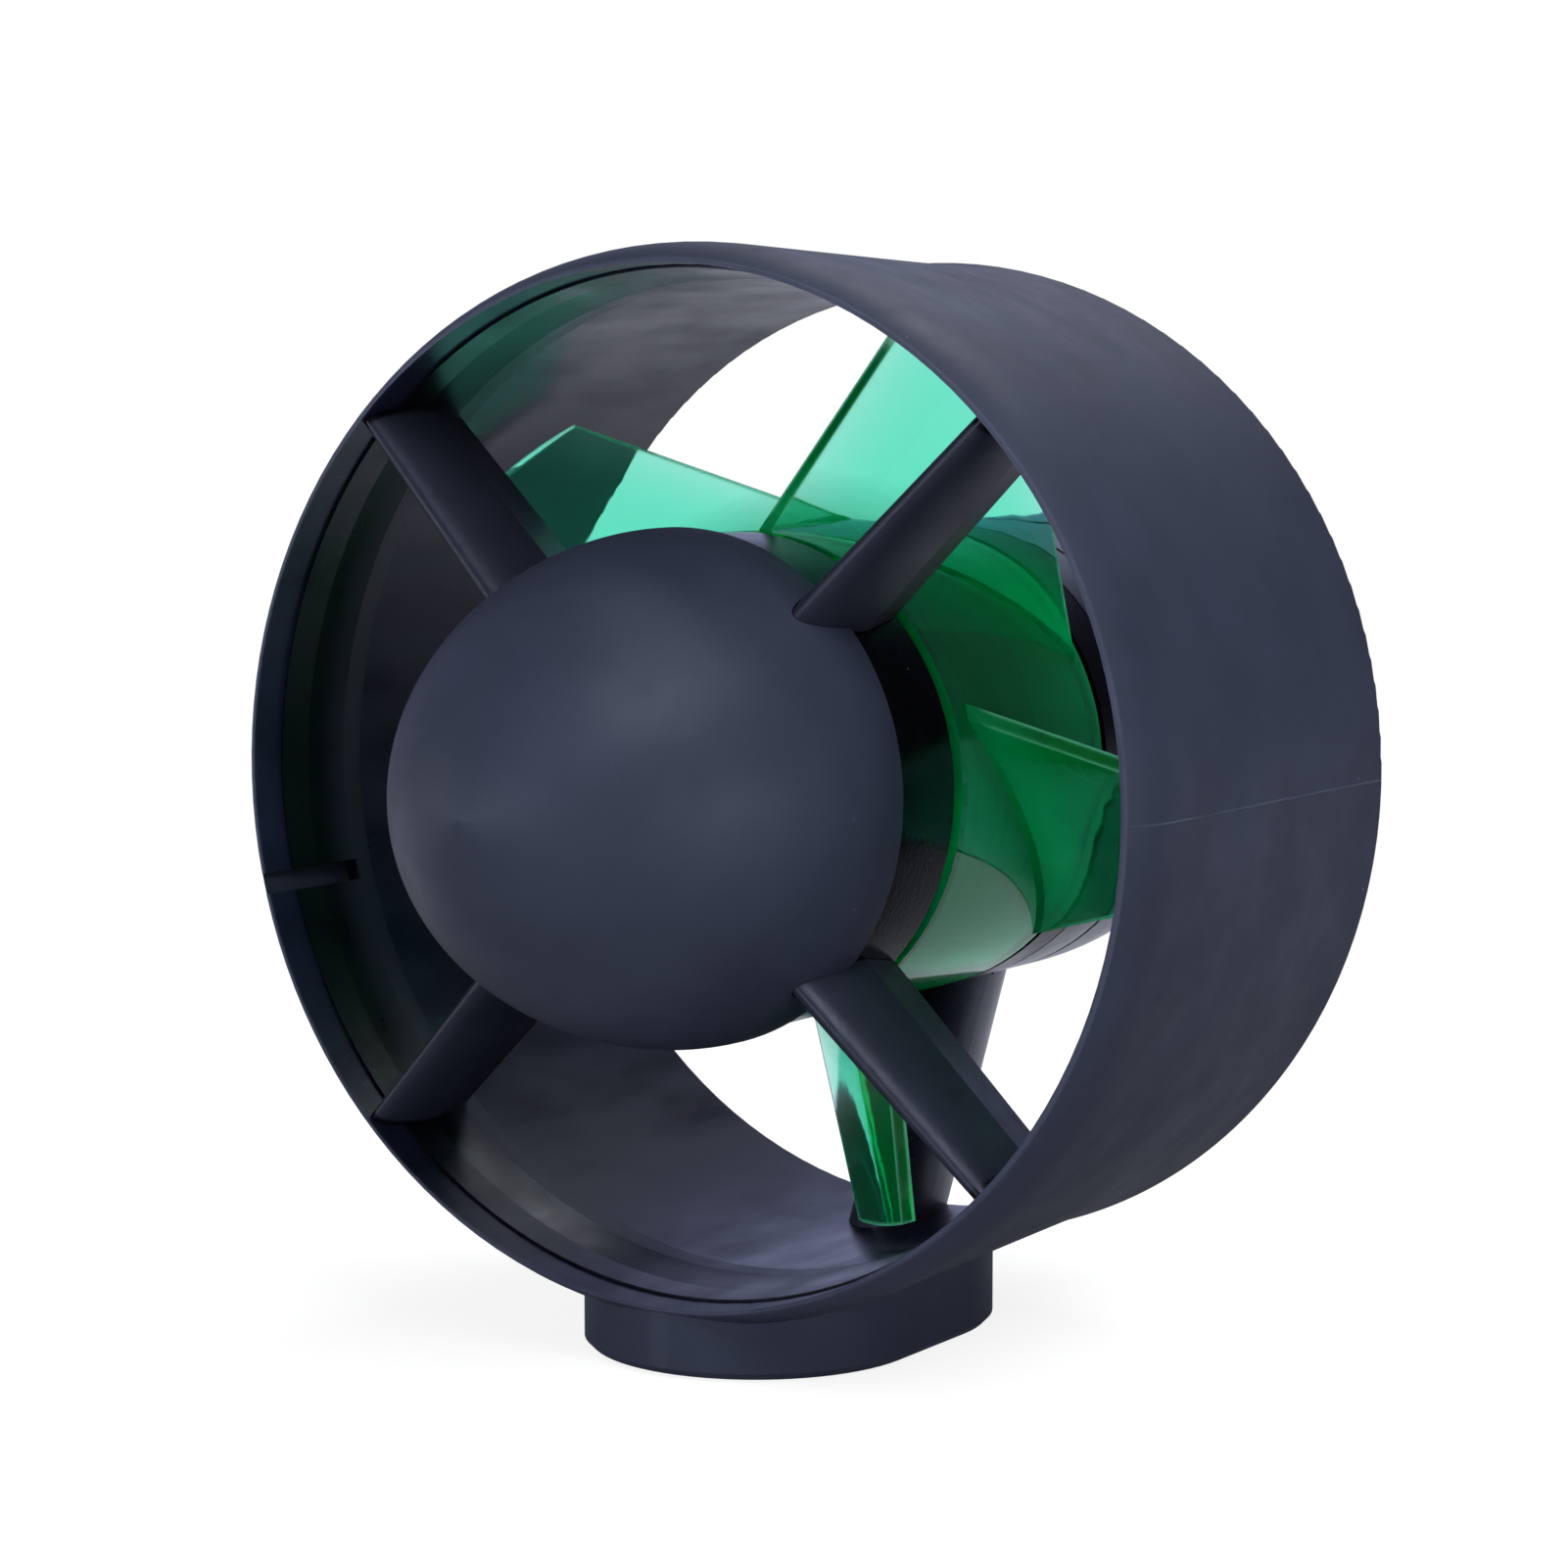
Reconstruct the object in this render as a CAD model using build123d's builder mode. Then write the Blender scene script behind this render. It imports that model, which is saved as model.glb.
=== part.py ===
from build123d import *
import math
import os

# Ducted underwater thruster. Millimetres, +Z up, nose towards -Y.
# The origin is the middle of the mounting pad's underside.
# Stations run rearwards from the plane of the duct's front lip. Radii are from the thrust line.
# Clocks are degrees clockwise from the top, seen from the front.

os.makedirs("parts", exist_ok=True)

# Mounting pad
pad_height = 3.8
pad_length = 34.8
pad_width = 25.4
pad_setback = 0.2
pad_top = 10.0
pad_edge = 0.5
insert_spacing_x = 16.0
insert_spacing_y = 16.0
insert_radius = 2.1
insert_thread_radius = 1.25
insert_length = 4.0
insert_flange_radius = 2.6
insert_flange_thickness = 0.5
insert_hole_spare = 0.3

# Duct
duct_length = 38.6
bore_radius = 35.9
duct_wall = 1.9
waist_station = 28.0
lip_wall = 0.25
lip_edge = 0.1
mouth_draft = 0.05
shoulder_rise = 0.88
shoulder_station = 1.5
bulge_rise = 1.32
bulge_station = 5.7
outlet_flare = 0.15
outlet_edge = 0.5

# Vane unit
ring_length = 8.5
ring_wall = 0.75
ring_inset = 3.0
ring_edge = 0.15
ring_land_length = 2.9
ring_land_drop = 0.1
ring_ramp_length = 3.6
key_clock = -104.0
key_width = 1.6
key_depth = 0.5
key_length = 1.5
vane_count = 4
first_vane_clock = 45.0
vane_root_front = -1.7
vane_tip_front = 0.35
vane_back_gap = 0.3
vane_root_thickness = 3.5
vane_tip_thickness = 2.9
vane_tail_thickness = 1.5
vane_nose_share = 0.6
spider_ring_wall = 3.2
spider_ring_length = 7.0

# Nose cone and the dark band behind it
core_radius = 17.9
nose_step = 0.5
nose_base_station = 3.1
nose_length = 25.6
nose_wall = 1.6
nose_pocket_margin = 1.35
nose_pocket_length = 11.0
nose_flank = 0.37
nose_shoulder_radius = 0.69
nose_shoulder_length = 0.88
band_length = 7.65
band_wall = 1.8
band_web = 2.2
band_boss_radius = 5.2
band_boss_wall = 0.6

# Propeller
blade_count = 5
first_blade_clock = 102.7
hub_gap = 1.2
hub_length = 20.6
hub_wall = 1.7
hub_web = 1.8
blade_tip_gap = 1.8
blade_root_lead_clock = -31.1
blade_root_lead_set = 1.7
blade_root_trail_clock = 31.1
blade_root_trail_set = 19.9
blade_tip_lead_clock = -13.9
blade_tip_lead_set = 4.1
blade_tip_trail_clock = -0.8
blade_tip_trail_set = 10.1
blade_root_thickness = 2.2
blade_tip_thickness = 1.3
blade_edge_thickness = 0.9
blade_lead_bevel = 0.5

# Motor bell and magnets
bell_wall = 1.1
bell_plate = 1.6
bell_boss_radius = 4.6
bell_boss_lead = 0.95
bell_boss_tail = 1.4
bell_window_radius = 2.2
bell_rim_inset = 0.5
magnet_count = 14
magnet_thickness = 1.25
magnet_arc = 21.0
magnet_overhang = 1.0

# Stator
slot_count = 12
stack_setback = 1.5
stack_length = 10.0
tooth_width = 2.0
tooth_tip = 1.0
slot_opening = 1.3
stator_yoke_radius = 7.6
coil_thickness = 0.7
coil_end_height = 1.5
coil_inset = 0.3
air_gap = 0.4
bearing_tube_radius = 5.0

# Shaft, bushings, washers and clip
shaft_radius = 2.0
shaft_front_gap = 0.5
shaft_tail = 2.0
bushing_wall = 1.25
bushing_flange_radius = 4.3
bushing_flange = 0.8
bushing_length = 6.5
washer_radius = 3.9
washer_thickness = 0.4
thrust_play = 0.1
centre_gap = 0.5
clip_groove_depth = 0.4
clip_thickness = 0.6
clip_radius = 3.6
clip_gap = 2.6

# Motor base, pod, strut and tail cone
base_gap = 0.7
base_length = 3.7
base_spigot_length = 1.2
pod_length = 20.2
pod_taper = 1.2
pod_straight = 8.2
pod_curve_length = 6.5
pod_curve_drop = 0.5
pod_bulkhead = 3.4
pod_wall = 2.0
pod_edge = 0.3
pod_groove_setback = 5.5
pod_groove_width = 0.5
pod_groove_depth = 0.3
bulkhead_bore = 5.8
strut_chord = 11.0
strut_thickness = 5.6
strut_tail = 2.6
strut_nose_share = 0.48
strut_rake = 0.53
strut_foot_setback = 5.8
tenon_length = 5.0
tenon_width = 4.2
tenon_lead = 0.8
tenon_depth = 1.6
tenon_root = 0.4
passage_radius = 1.5
tail_length = 10.0
tail_spigot = 3.6
tail_wall = 2.0
tail_pocket = 5.6
seal_cord = 0.7
seal_setback = 1.8
grommet_radius = 3.3
grommet_depth = 2.1

# Screws, and the clearances between mating pieces
screw_count = 4
head_ratio = 1.9
recess_share = 0.8
front_screw_radius = 1.25
front_screw_gap = 0.6
front_screw_length = 12.0
prop_screw_radius = 1.0
prop_screw_inset = 5.8
prop_screw_length = 3.2
mount_screw_radius = 1.25
mount_screw_inset = 6.5
mount_screw_length = 6.8
grub_radius = 1.0
grub_setback = 1.45
grub_inset = 0.3
slide_fit = 0.05
running_fit = 0.04
close_gap = 0.1

# Sizes that follow from the ones above
seat_radius = bore_radius + ring_wall
ring_radius = seat_radius - slide_fit
seat_depth = ring_inset + ring_length
mouth_radius = seat_radius + mouth_draft
lip_radius = mouth_radius + lip_wall
waist_radius = bore_radius + duct_wall
axis_height = waist_radius + pad_height
lip_y = -pad_setback - pad_length / 2
ring_edge_radius = ring_radius - ring_edge
ring_land_end = ring_inset + ring_land_length
ring_ramp_end = ring_land_end + ring_ramp_length
keyway_radius = seat_radius + key_depth
key_front = seat_depth - key_length
nose_radius = core_radius + nose_step
nose_cavity_radius = nose_radius - nose_wall
band_front = nose_base_station + slide_fit
band_back = band_front + band_length
band_web_back = band_front + band_web
vane_back = band_back - vane_back_gap
hub_front = band_back + hub_gap
hub_back = hub_front + hub_length
hub_bore = core_radius - hub_wall
blade_tip_radius = bore_radius - blade_tip_gap
bell_radius = hub_bore - slide_fit
bell_front = hub_front + hub_web
bell_back = hub_back - bell_rim_inset
bell_boss_front = hub_front - bell_boss_lead
bell_boss_back = bell_front + bell_plate + bell_boss_tail
grub_station = bell_boss_front + grub_setback
magnet_outer = bell_radius - bell_wall - slide_fit
magnet_inner = magnet_outer - magnet_thickness
stator_radius = magnet_inner - air_gap
bushing_bore = shaft_radius + running_fit
bushing_radius = bushing_bore + bushing_wall
tube_bore = bushing_radius + slide_fit
tube_front = bell_boss_back + centre_gap + bushing_flange
stack_front = tube_front + stack_setback
stack_back = stack_front + stack_length
base_front = hub_back + base_gap
pod_front = base_front + base_length
pod_back = pod_front + pod_length
pod_back_radius = core_radius - pod_taper
tube_back = pod_front + base_spigot_length
band_boss_back = bell_boss_front - washer_thickness - thrust_play - bushing_flange
shaft_front = band_boss_back - bushing_length - shaft_front_gap
band_boss_front = shaft_front - shaft_front_gap - band_boss_wall
spider_front = band_front - spider_ring_length
spider_radius = core_radius - band_wall - slide_fit
spider_bore = spider_radius - spider_ring_wall
front_screw_circle = spider_bore - front_screw_radius - front_screw_gap
nose_pocket_radius = front_screw_circle - front_screw_radius - nose_pocket_margin
prop_screw_circle = hub_bore - prop_screw_inset
mount_screw_circle = core_radius - mount_screw_inset
nose_hole_front = band_web_back - front_screw_length - slide_fit
rear_washer_front = tube_back + bushing_flange + thrust_play
clip_front = rear_washer_front + washer_thickness
shaft_back = clip_front + clip_thickness + shaft_tail
bulkhead_back = pod_front + pod_bulkhead
pod_groove_station = pod_front + pod_groove_setback
pod_straight_end = pod_front + pod_straight
pod_curve_station = pod_straight_end + pod_curve_length
pod_curve_radius = core_radius - pod_curve_drop
pod_cavity = pod_back_radius - pod_wall
seal_station = pod_back - seal_setback
seal_radius = pod_cavity - seal_cord
strut_foot_station = duct_length - strut_foot_setback
passage_foot = strut_foot_station - strut_rake * (axis_height - bore_radius)
passage_length = axis_height - pod_cavity / 2
tenon_station = strut_foot_station - tenon_lead
tenon_base = bore_radius + tenon_depth
beyond = duct_length + pod_length + nose_length

profile = Plane(origin=(0, lip_y, axis_height), x_dir=(0, 1, 0), z_dir=(1, 0, 0))
thrust_line = Axis((0, lip_y, axis_height), (0, 1, 0))
passage_plane = Plane(origin=(0, lip_y + passage_foot, 0), x_dir=(1, 0, 0), z_dir=(0, strut_rake, 1))


def face_at(station):
    """Plane across the thrust line at a station, its normal forwards: across is x, up is y."""
    return Plane(origin=(0, lip_y + station, axis_height), x_dir=(1, 0, 0), z_dir=(0, -1, 0))


def turned(front, back, inner, outer, mode=Mode.ADD):
    """Rectangle in a turned section, from its two stations and its two radii."""
    with Locations(((front + back) / 2, (inner + outer) / 2)):
        Rectangle(back - front, outer - inner, mode=mode)


def at_clock(shape, clock):
    """Copy of a shape drawn at the top, turned clockwise about the thrust line."""
    return shape.rotate(thrust_line, clock)


def across_at(height):
    """Level plane at a height above the thrust line, or below it where negative."""
    return Plane.XY.offset(axis_height + height)


def along(start, end, height):
    """Place across and station of a straight edge at a height; its ends are (height, across, station)."""
    share = (height - start[0]) / (end[0] - start[0])
    across = start[1] + share * (end[1] - start[1])
    station = start[2] + share * (end[2] - start[2])
    return Vector(across, lip_y + station)


def blade_corner(radius, clock, station):
    """Corner of a blade drawn at the top, as (height above the thrust line, place across, station)."""
    turn = math.radians(clock)
    return radius * math.cos(turn), radius * math.sin(turn), station


def streamlined(length, thickness, tail, nose_share, front, flat=False):
    """Streamlined section on a level plane: elliptical nose, arched or flat flanks, blunt tail."""
    nose = length * nose_share
    widest = lip_y + front + nose
    back = lip_y + front + length
    half = thickness / 2
    with BuildLine() as outline:
        EllipticalCenterArc((0, widest), half, nose, 180, arc_size=180)
        if flat:
            Line((half, widest), (tail / 2, back))
            Line((-half, widest), (-tail / 2, back))
        else:
            TangentArc((half, widest), (tail / 2, back), tangent=(0, 1))
            TangentArc((-half, widest), (-tail / 2, back), tangent=(0, 1))
        Line((tail / 2, back), (-tail / 2, back))
    make_face(outline.edges())


def vane_blank(grow=0.0):
    """One vane at the top, from inside the nose cone to past the outer ring, larger all round by grow."""
    rise = ring_radius - core_radius
    with BuildPart() as blank:
        for height in (spider_bore, ring_radius + ring_wall):
            share = (height - core_radius) / rise
            front = vane_root_front + share * (vane_tip_front - vane_root_front) - grow
            thickness = vane_root_thickness + share * (vane_tip_thickness - vane_root_thickness)
            with BuildSketch(across_at(height)):
                streamlined(
                    vane_back + grow - front, thickness + 2 * grow, vane_tail_thickness + 2 * grow,
                    vane_nose_share, front, flat=True,
                )
        loft(ruled=True)
    return blank.part


def blade_blank():
    """One blade at the top: straight edges, thickest at mid chord, its leading edge bevelled in front."""
    lead_root = blade_corner(core_radius, blade_root_lead_clock, hub_front + blade_root_lead_set)
    trail_root = blade_corner(core_radius, blade_root_trail_clock, hub_front + blade_root_trail_set)
    lead_tip = blade_corner(blade_tip_radius, blade_tip_lead_clock, hub_front + blade_tip_lead_set)
    trail_tip = blade_corner(blade_tip_radius, blade_tip_trail_clock, hub_front + blade_tip_trail_set)
    root = (lead_root[0] - hub_wall, blade_root_thickness)
    tip = (blade_tip_radius + hub_wall, blade_tip_thickness)
    with BuildPart() as blank:
        for height, thickness in (root, tip):
            lead = along(lead_root, lead_tip, height)
            trail = along(trail_root, trail_tip, height)
            middle = (lead + trail) / 2
            chord = (trail - lead).normalized()
            square = chord.rotate(Axis.Z, 90)
            edge = square * (blade_edge_thickness / 2)
            crown = square * (thickness / 2)
            lead_front = lead - edge + chord * blade_lead_bevel
            with BuildSketch(across_at(height)):
                with BuildLine():
                    ThreePointArc(lead + edge, middle + crown, trail + edge)
                    Line(trail + edge, trail - edge)
                    ThreePointArc(trail - edge, middle - crown, lead_front)
                    Line(lead_front, lead + edge)
                make_face()
        loft(ruled=True)
        with BuildSketch(profile):
            turned(0, pod_back, core_radius - hub_wall / 2, blade_tip_radius)
        revolve(axis=thrust_line, mode=Mode.INTERSECT)
    return blank.part


def pad_blank():
    """Stadium pad under the duct, hollowed where the duct's wall takes over."""
    with BuildPart() as blank:
        with BuildSketch(Plane.XY):
            SlotOverall(pad_length, pad_width, rotation=90)
        extrude(amount=pad_top)
        chamfer(blank.faces().sort_by(Axis.Z)[0].edges(), pad_edge)
        with BuildSketch(profile):
            turned(-beyond, beyond, 0, (mouth_radius + lip_radius) / 2)
        revolve(axis=thrust_line, mode=Mode.SUBTRACT)
    return blank.part


def key_bar(front, back, inner, outer, width):
    """Straight bar along the thrust line at the key's clock, from its two stations and two radii."""
    with BuildPart() as bar:
        with BuildSketch(face_at(front)):
            with Locations((0, (inner + outer) / 2)):
                Rectangle(width, outer - inner)
        extrude(amount=front - back)
    return at_clock(bar.part, key_clock)


def screw_ring(radius, length, head_station, circle, start_clock, direction=1):
    """Ring of countersunk screws with flush heads; their shanks run rearwards, or forwards at -1."""
    head = radius * head_ratio
    with BuildPart() as blank:
        with BuildSketch(Plane.XY):
            Polygon(
                (0, 0), (head, 0), (radius, direction * (head - radius)), (radius, direction * length),
                (0, direction * length), align=None,
            )
        revolve(axis=Axis.Y)
        with BuildSketch(Plane.XZ):
            RegularPolygon(radius * recess_share, 6)
        extrude(amount=-direction * radius, mode=Mode.SUBTRACT)
    for index in range(screw_count):
        turn = math.radians(start_clock + index * 360 / screw_count)
        centre = (circle * math.sin(turn), lip_y + head_station, axis_height + circle * math.cos(turn))
        add(blank.part.moved(Location(centre)))


def screw_holes(front, back, circle, radius, start_clock):
    """Ring of plain holes between two stations."""
    with BuildSketch(face_at(front)) as holes:
        with PolarLocations(circle, screw_count, start_angle=90 - start_clock):
            Circle(radius)
    extrude(holes.sketch, amount=front - back, mode=Mode.SUBTRACT)


def countersinks(station, circle, radius, start_clock, direction=1):
    """Ring of seats for flush heads at a station, tapering rearwards, or forwards at -1."""
    head = radius * head_ratio + close_gap
    with BuildPart() as blank:
        with BuildSketch(Plane.XY):
            Polygon(
                (0, 0), (head, 0), (radius, direction * (head - radius)), (0, direction * (head - radius)),
                align=None,
            )
        revolve(axis=Axis.Y)
    for index in range(screw_count):
        turn = math.radians(start_clock + index * 360 / screw_count)
        centre = (circle * math.sin(turn), lip_y + station, axis_height + circle * math.cos(turn))
        add(blank.part.moved(Location(centre)), mode=Mode.SUBTRACT)


def cable_passage():
    """Sloping passage from the pod down through the strut, the duct and the pad."""
    with BuildSketch(passage_plane) as hole:
        Circle(passage_radius)
    extrude(hole.sketch, amount=passage_length, both=True, mode=Mode.SUBTRACT)


# Duct: short moulded tube, drawn in to a thin lip at the front, its pad grown out of the bottom
with BuildPart() as duct_shell:
    with BuildSketch(profile) as duct_section:
        with BuildLine():
            Spline(
                (0, lip_radius), (shoulder_station, lip_radius + shoulder_rise),
                (bulge_station, lip_radius + bulge_rise), (waist_station, waist_radius),
                (duct_length, waist_radius + outlet_flare),
            )
            Polyline(
                (duct_length, waist_radius + outlet_flare), (duct_length, bore_radius),
                (seat_depth, bore_radius), (seat_depth, seat_radius), (ring_inset, seat_radius),
                (0, mouth_radius), (0, lip_radius),
            )
        make_face()
        fillet(duct_section.vertices().sort_by(Axis.X)[-2:], outlet_edge)
        fillet(duct_section.vertices().sort_by(Axis.X)[:2].sort_by(Axis.Y)[-1], lip_edge)
    revolve(axis=thrust_line)
    add(pad_blank())
    add(key_bar(-ring_inset, seat_depth, bore_radius, keyway_radius, key_width), mode=Mode.SUBTRACT)
    with BuildSketch(across_at(-bore_radius + tenon_depth)):
        with Locations((0, lip_y + tenon_station)):
            Rectangle(tenon_width + 2 * slide_fit, tenon_length + 2 * slide_fit)
    extrude(amount=-2 * tenon_depth - slide_fit, mode=Mode.SUBTRACT)
    with BuildSketch(Plane.XY):
        with GridLocations(insert_spacing_x, insert_spacing_y, 2, 2):
            Circle(insert_radius + slide_fit)
    extrude(amount=insert_length + insert_hole_spare, mode=Mode.SUBTRACT)
    with BuildSketch(Plane.XY):
        with GridLocations(insert_spacing_x, insert_spacing_y, 2, 2):
            Circle(insert_flange_radius + slide_fit)
    extrude(amount=insert_flange_thickness, mode=Mode.SUBTRACT)
    with BuildSketch(Plane.XY):
        with Locations((0, lip_y + passage_foot)):
            Circle(grommet_radius + slide_fit)
    extrude(amount=grommet_depth, mode=Mode.SUBTRACT)
    cable_passage()
duct_shell.part.label = "duct_shell"
export_step(duct_shell.part, "parts/duct_shell.step")

# Threaded brass inserts in the pad
with BuildPart() as mounting_inserts:
    with BuildSketch(Plane.XY):
        with GridLocations(insert_spacing_x, insert_spacing_y, 2, 2):
            Circle(insert_flange_radius)
    extrude(amount=insert_flange_thickness)
    with BuildSketch(Plane.XY):
        with GridLocations(insert_spacing_x, insert_spacing_y, 2, 2):
            Circle(insert_radius)
    extrude(amount=insert_length)
    with BuildSketch(Plane.XY):
        with GridLocations(insert_spacing_x, insert_spacing_y, 2, 2):
            Circle(insert_thread_radius)
    extrude(amount=insert_length, mode=Mode.SUBTRACT)
mounting_inserts.part.label = "mounting_inserts"
export_step(mounting_inserts.part, "parts/mounting_inserts.step")

# Rubber grommet that closes the cable passage in the pad's underside
with BuildPart() as cable_grommet:
    with BuildSketch(Plane.XY):
        with Locations((0, lip_y + passage_foot)):
            Circle(grommet_radius)
    extrude(amount=grommet_depth)
    cable_passage()
cable_grommet.part.label = "cable_grommet"
export_step(cable_grommet.part, "parts/cable_grommet.step")

# Vane unit: slotted and keyed outer ring, four vanes, and the inner ring they are rooted in
with BuildPart() as vane_unit:
    for index in range(vane_count):
        add(at_clock(vane_blank(), first_vane_clock + index * 360 / vane_count))
    with BuildSketch(profile):
        turned(-beyond, band_front, 0, spider_bore)
        turned(band_front, beyond, 0, core_radius + slide_fit)
        turned(-beyond, beyond, ring_radius - slide_fit, 2 * ring_radius)
    revolve(axis=thrust_line, mode=Mode.SUBTRACT)
    with BuildSketch(profile):
        with BuildLine():
            Polyline(
                (ring_inset, ring_radius), (ring_inset, ring_edge_radius),
                (ring_land_end, ring_edge_radius - ring_land_drop), (ring_ramp_end, bore_radius),
                (seat_depth, bore_radius), (seat_depth, ring_radius),
                close=True,
            )
        make_face()
    revolve(axis=thrust_line)
    add(key_bar(0, key_front, 0.95 * bore_radius, keyway_radius, key_width), mode=Mode.SUBTRACT)
    with BuildSketch(profile):
        turned(spider_front, band_front, spider_bore, spider_radius)
    revolve(axis=thrust_line)
    add(key_bar(key_front, seat_depth, (bore_radius + ring_radius) / 2, keyway_radius - slide_fit,
                key_width - 2 * slide_fit))
vane_unit.part.label = "vane_unit"
export_step(vane_unit.part, "parts/vane_unit.step")

# Nose cone: hollow shell with a solid crown for the screws, slotted over the vane roots
with BuildPart() as nose_cone:
    with BuildSketch(profile):
        with BuildLine():
            Bezier(
                (nose_base_station, nose_radius),
                (nose_base_station - nose_length * nose_flank, nose_radius),
                (nose_base_station - nose_length * nose_shoulder_length, nose_radius * nose_shoulder_radius),
                (nose_base_station - nose_length, 0),
            )
            Polyline(
                (nose_base_station - nose_length, 0), (nose_base_station, 0), (nose_base_station, nose_radius),
            )
        make_face()
        turned(spider_front, beyond, 0, nose_cavity_radius, mode=Mode.SUBTRACT)
        turned(spider_front - nose_pocket_length, spider_front, 0, nose_pocket_radius, mode=Mode.SUBTRACT)
    revolve(axis=thrust_line)
    for index in range(vane_count):
        clock = first_vane_clock + index * 360 / vane_count
        add(at_clock(vane_blank(close_gap), clock), mode=Mode.SUBTRACT)
    screw_holes(nose_hole_front, spider_front, front_screw_circle, front_screw_radius, 0)
nose_cone.part.label = "nose_cone"
export_step(nose_cone.part, "parts/nose_cone.step")

# Dark band: sleeve, web and the boss that holds the front bushing
with BuildPart() as bearing_housing:
    with BuildSketch(profile):
        turned(band_front, band_back, core_radius - band_wall, core_radius)
        turned(band_front, band_web_back, 0, core_radius - band_wall)
        turned(band_boss_front, band_boss_back, 0, band_boss_radius)
        turned(band_boss_front + band_boss_wall, beyond, 0, tube_bore, mode=Mode.SUBTRACT)
    revolve(axis=thrust_line)
    screw_holes(band_front, band_web_back, front_screw_circle, front_screw_radius + close_gap, 0)
    countersinks(band_web_back, front_screw_circle, front_screw_radius, 0, -1)
bearing_housing.part.label = "bearing_housing"
export_step(bearing_housing.part, "parts/bearing_housing.step")

# Screws from the band through the inner ring's space into the nose cone
with BuildPart() as front_screws:
    screw_ring(front_screw_radius, front_screw_length, band_web_back, front_screw_circle, 0, -1)
front_screws.part.label = "front_screws"
export_step(front_screws.part, "parts/front_screws.step")

# Flanged plain bushings
with BuildPart() as front_bushing:
    with BuildSketch(profile):
        turned(band_boss_back - bushing_length, band_boss_back, bushing_bore, bushing_radius)
        turned(band_boss_back, band_boss_back + bushing_flange, bushing_bore, bushing_flange_radius)
    revolve(axis=thrust_line)
front_bushing.part.label = "front_bushing"
export_step(front_bushing.part, "parts/front_bushing.step")

with BuildPart() as centre_bushing:
    with BuildSketch(profile):
        turned(tube_front - bushing_flange, tube_front, bushing_bore, bushing_flange_radius)
        turned(tube_front, tube_front + bushing_length, bushing_bore, bushing_radius)
    revolve(axis=thrust_line)
centre_bushing.part.label = "centre_bushing"
export_step(centre_bushing.part, "parts/centre_bushing.step")

with BuildPart() as rear_bushing:
    with BuildSketch(profile):
        turned(tube_back - bushing_length, tube_back, bushing_bore, bushing_radius)
        turned(tube_back, tube_back + bushing_flange, bushing_bore, bushing_flange_radius)
    revolve(axis=thrust_line)
rear_bushing.part.label = "rear_bushing"
export_step(rear_bushing.part, "parts/rear_bushing.step")

# Motor base: the dark collar, with the tube that carries the stator and two bushings
with BuildPart() as motor_base:
    with BuildSketch(profile):
        turned(base_front, pod_front, 0, core_radius)
        turned(tube_front, pod_front, 0, bearing_tube_radius)
        turned(pod_front, tube_back, 0, bulkhead_bore - slide_fit)
        turned(tube_front, tube_back, 0, tube_bore, mode=Mode.SUBTRACT)
    revolve(axis=thrust_line)
    screw_holes(base_front, pod_front, mount_screw_circle, mount_screw_radius + close_gap, 0)
    countersinks(base_front, mount_screw_circle, mount_screw_radius, 0)
motor_base.part.label = "motor_base"
export_step(motor_base.part, "parts/motor_base.step")

# Screws that hold the motor base to the pod's bulkhead
with BuildPart() as motor_mount_screws:
    screw_ring(mount_screw_radius, mount_screw_length, base_front, mount_screw_circle, 0)
motor_mount_screws.part.label = "motor_mount_screws"
export_step(motor_mount_screws.part, "parts/motor_mount_screws.step")

# Stator core: a ring with twelve teeth that spread at their tips
with BuildPart() as stator_core:
    with BuildSketch(face_at(stack_front)):
        Circle(stator_yoke_radius)
        with PolarLocations(0, slot_count):
            with Locations((stator_radius / 2, 0)):
                Rectangle(stator_radius, tooth_width)
        with BuildSketch(face_at(stack_front), mode=Mode.ADD):
            Circle(stator_radius)
            Circle(stator_radius - tooth_tip, mode=Mode.SUBTRACT)
            with PolarLocations(stator_radius, slot_count, start_angle=180 / slot_count):
                Rectangle(4 * tooth_tip, slot_opening, mode=Mode.SUBTRACT)
        Circle(bearing_tube_radius + slide_fit, mode=Mode.SUBTRACT)
    extrude(amount=-stack_length)
stator_core.part.label = "stator_core"
export_step(stator_core.part, "parts/stator_core.step")

# Windings: one coil round each tooth
with BuildPart() as stator_windings:
    coil_inner = stator_yoke_radius + coil_inset
    coil_outer = stator_radius - tooth_tip - coil_inset
    coil_width = tooth_width + 2 * slide_fit
    with BuildSketch(across_at(coil_inner)):
        with Locations((0, lip_y + (stack_front + stack_back) / 2)):
            Rectangle(coil_width + 2 * coil_thickness, stack_length + 2 * coil_end_height)
            Rectangle(coil_width, stack_length + 2 * slide_fit, mode=Mode.SUBTRACT)
    extrude(amount=coil_outer - coil_inner)
    coil = stator_windings.part
    for index in range(1, slot_count):
        add(at_clock(coil, index * 360 / slot_count))
stator_windings.part.label = "stator_windings"
export_step(stator_windings.part, "parts/stator_windings.step")

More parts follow.
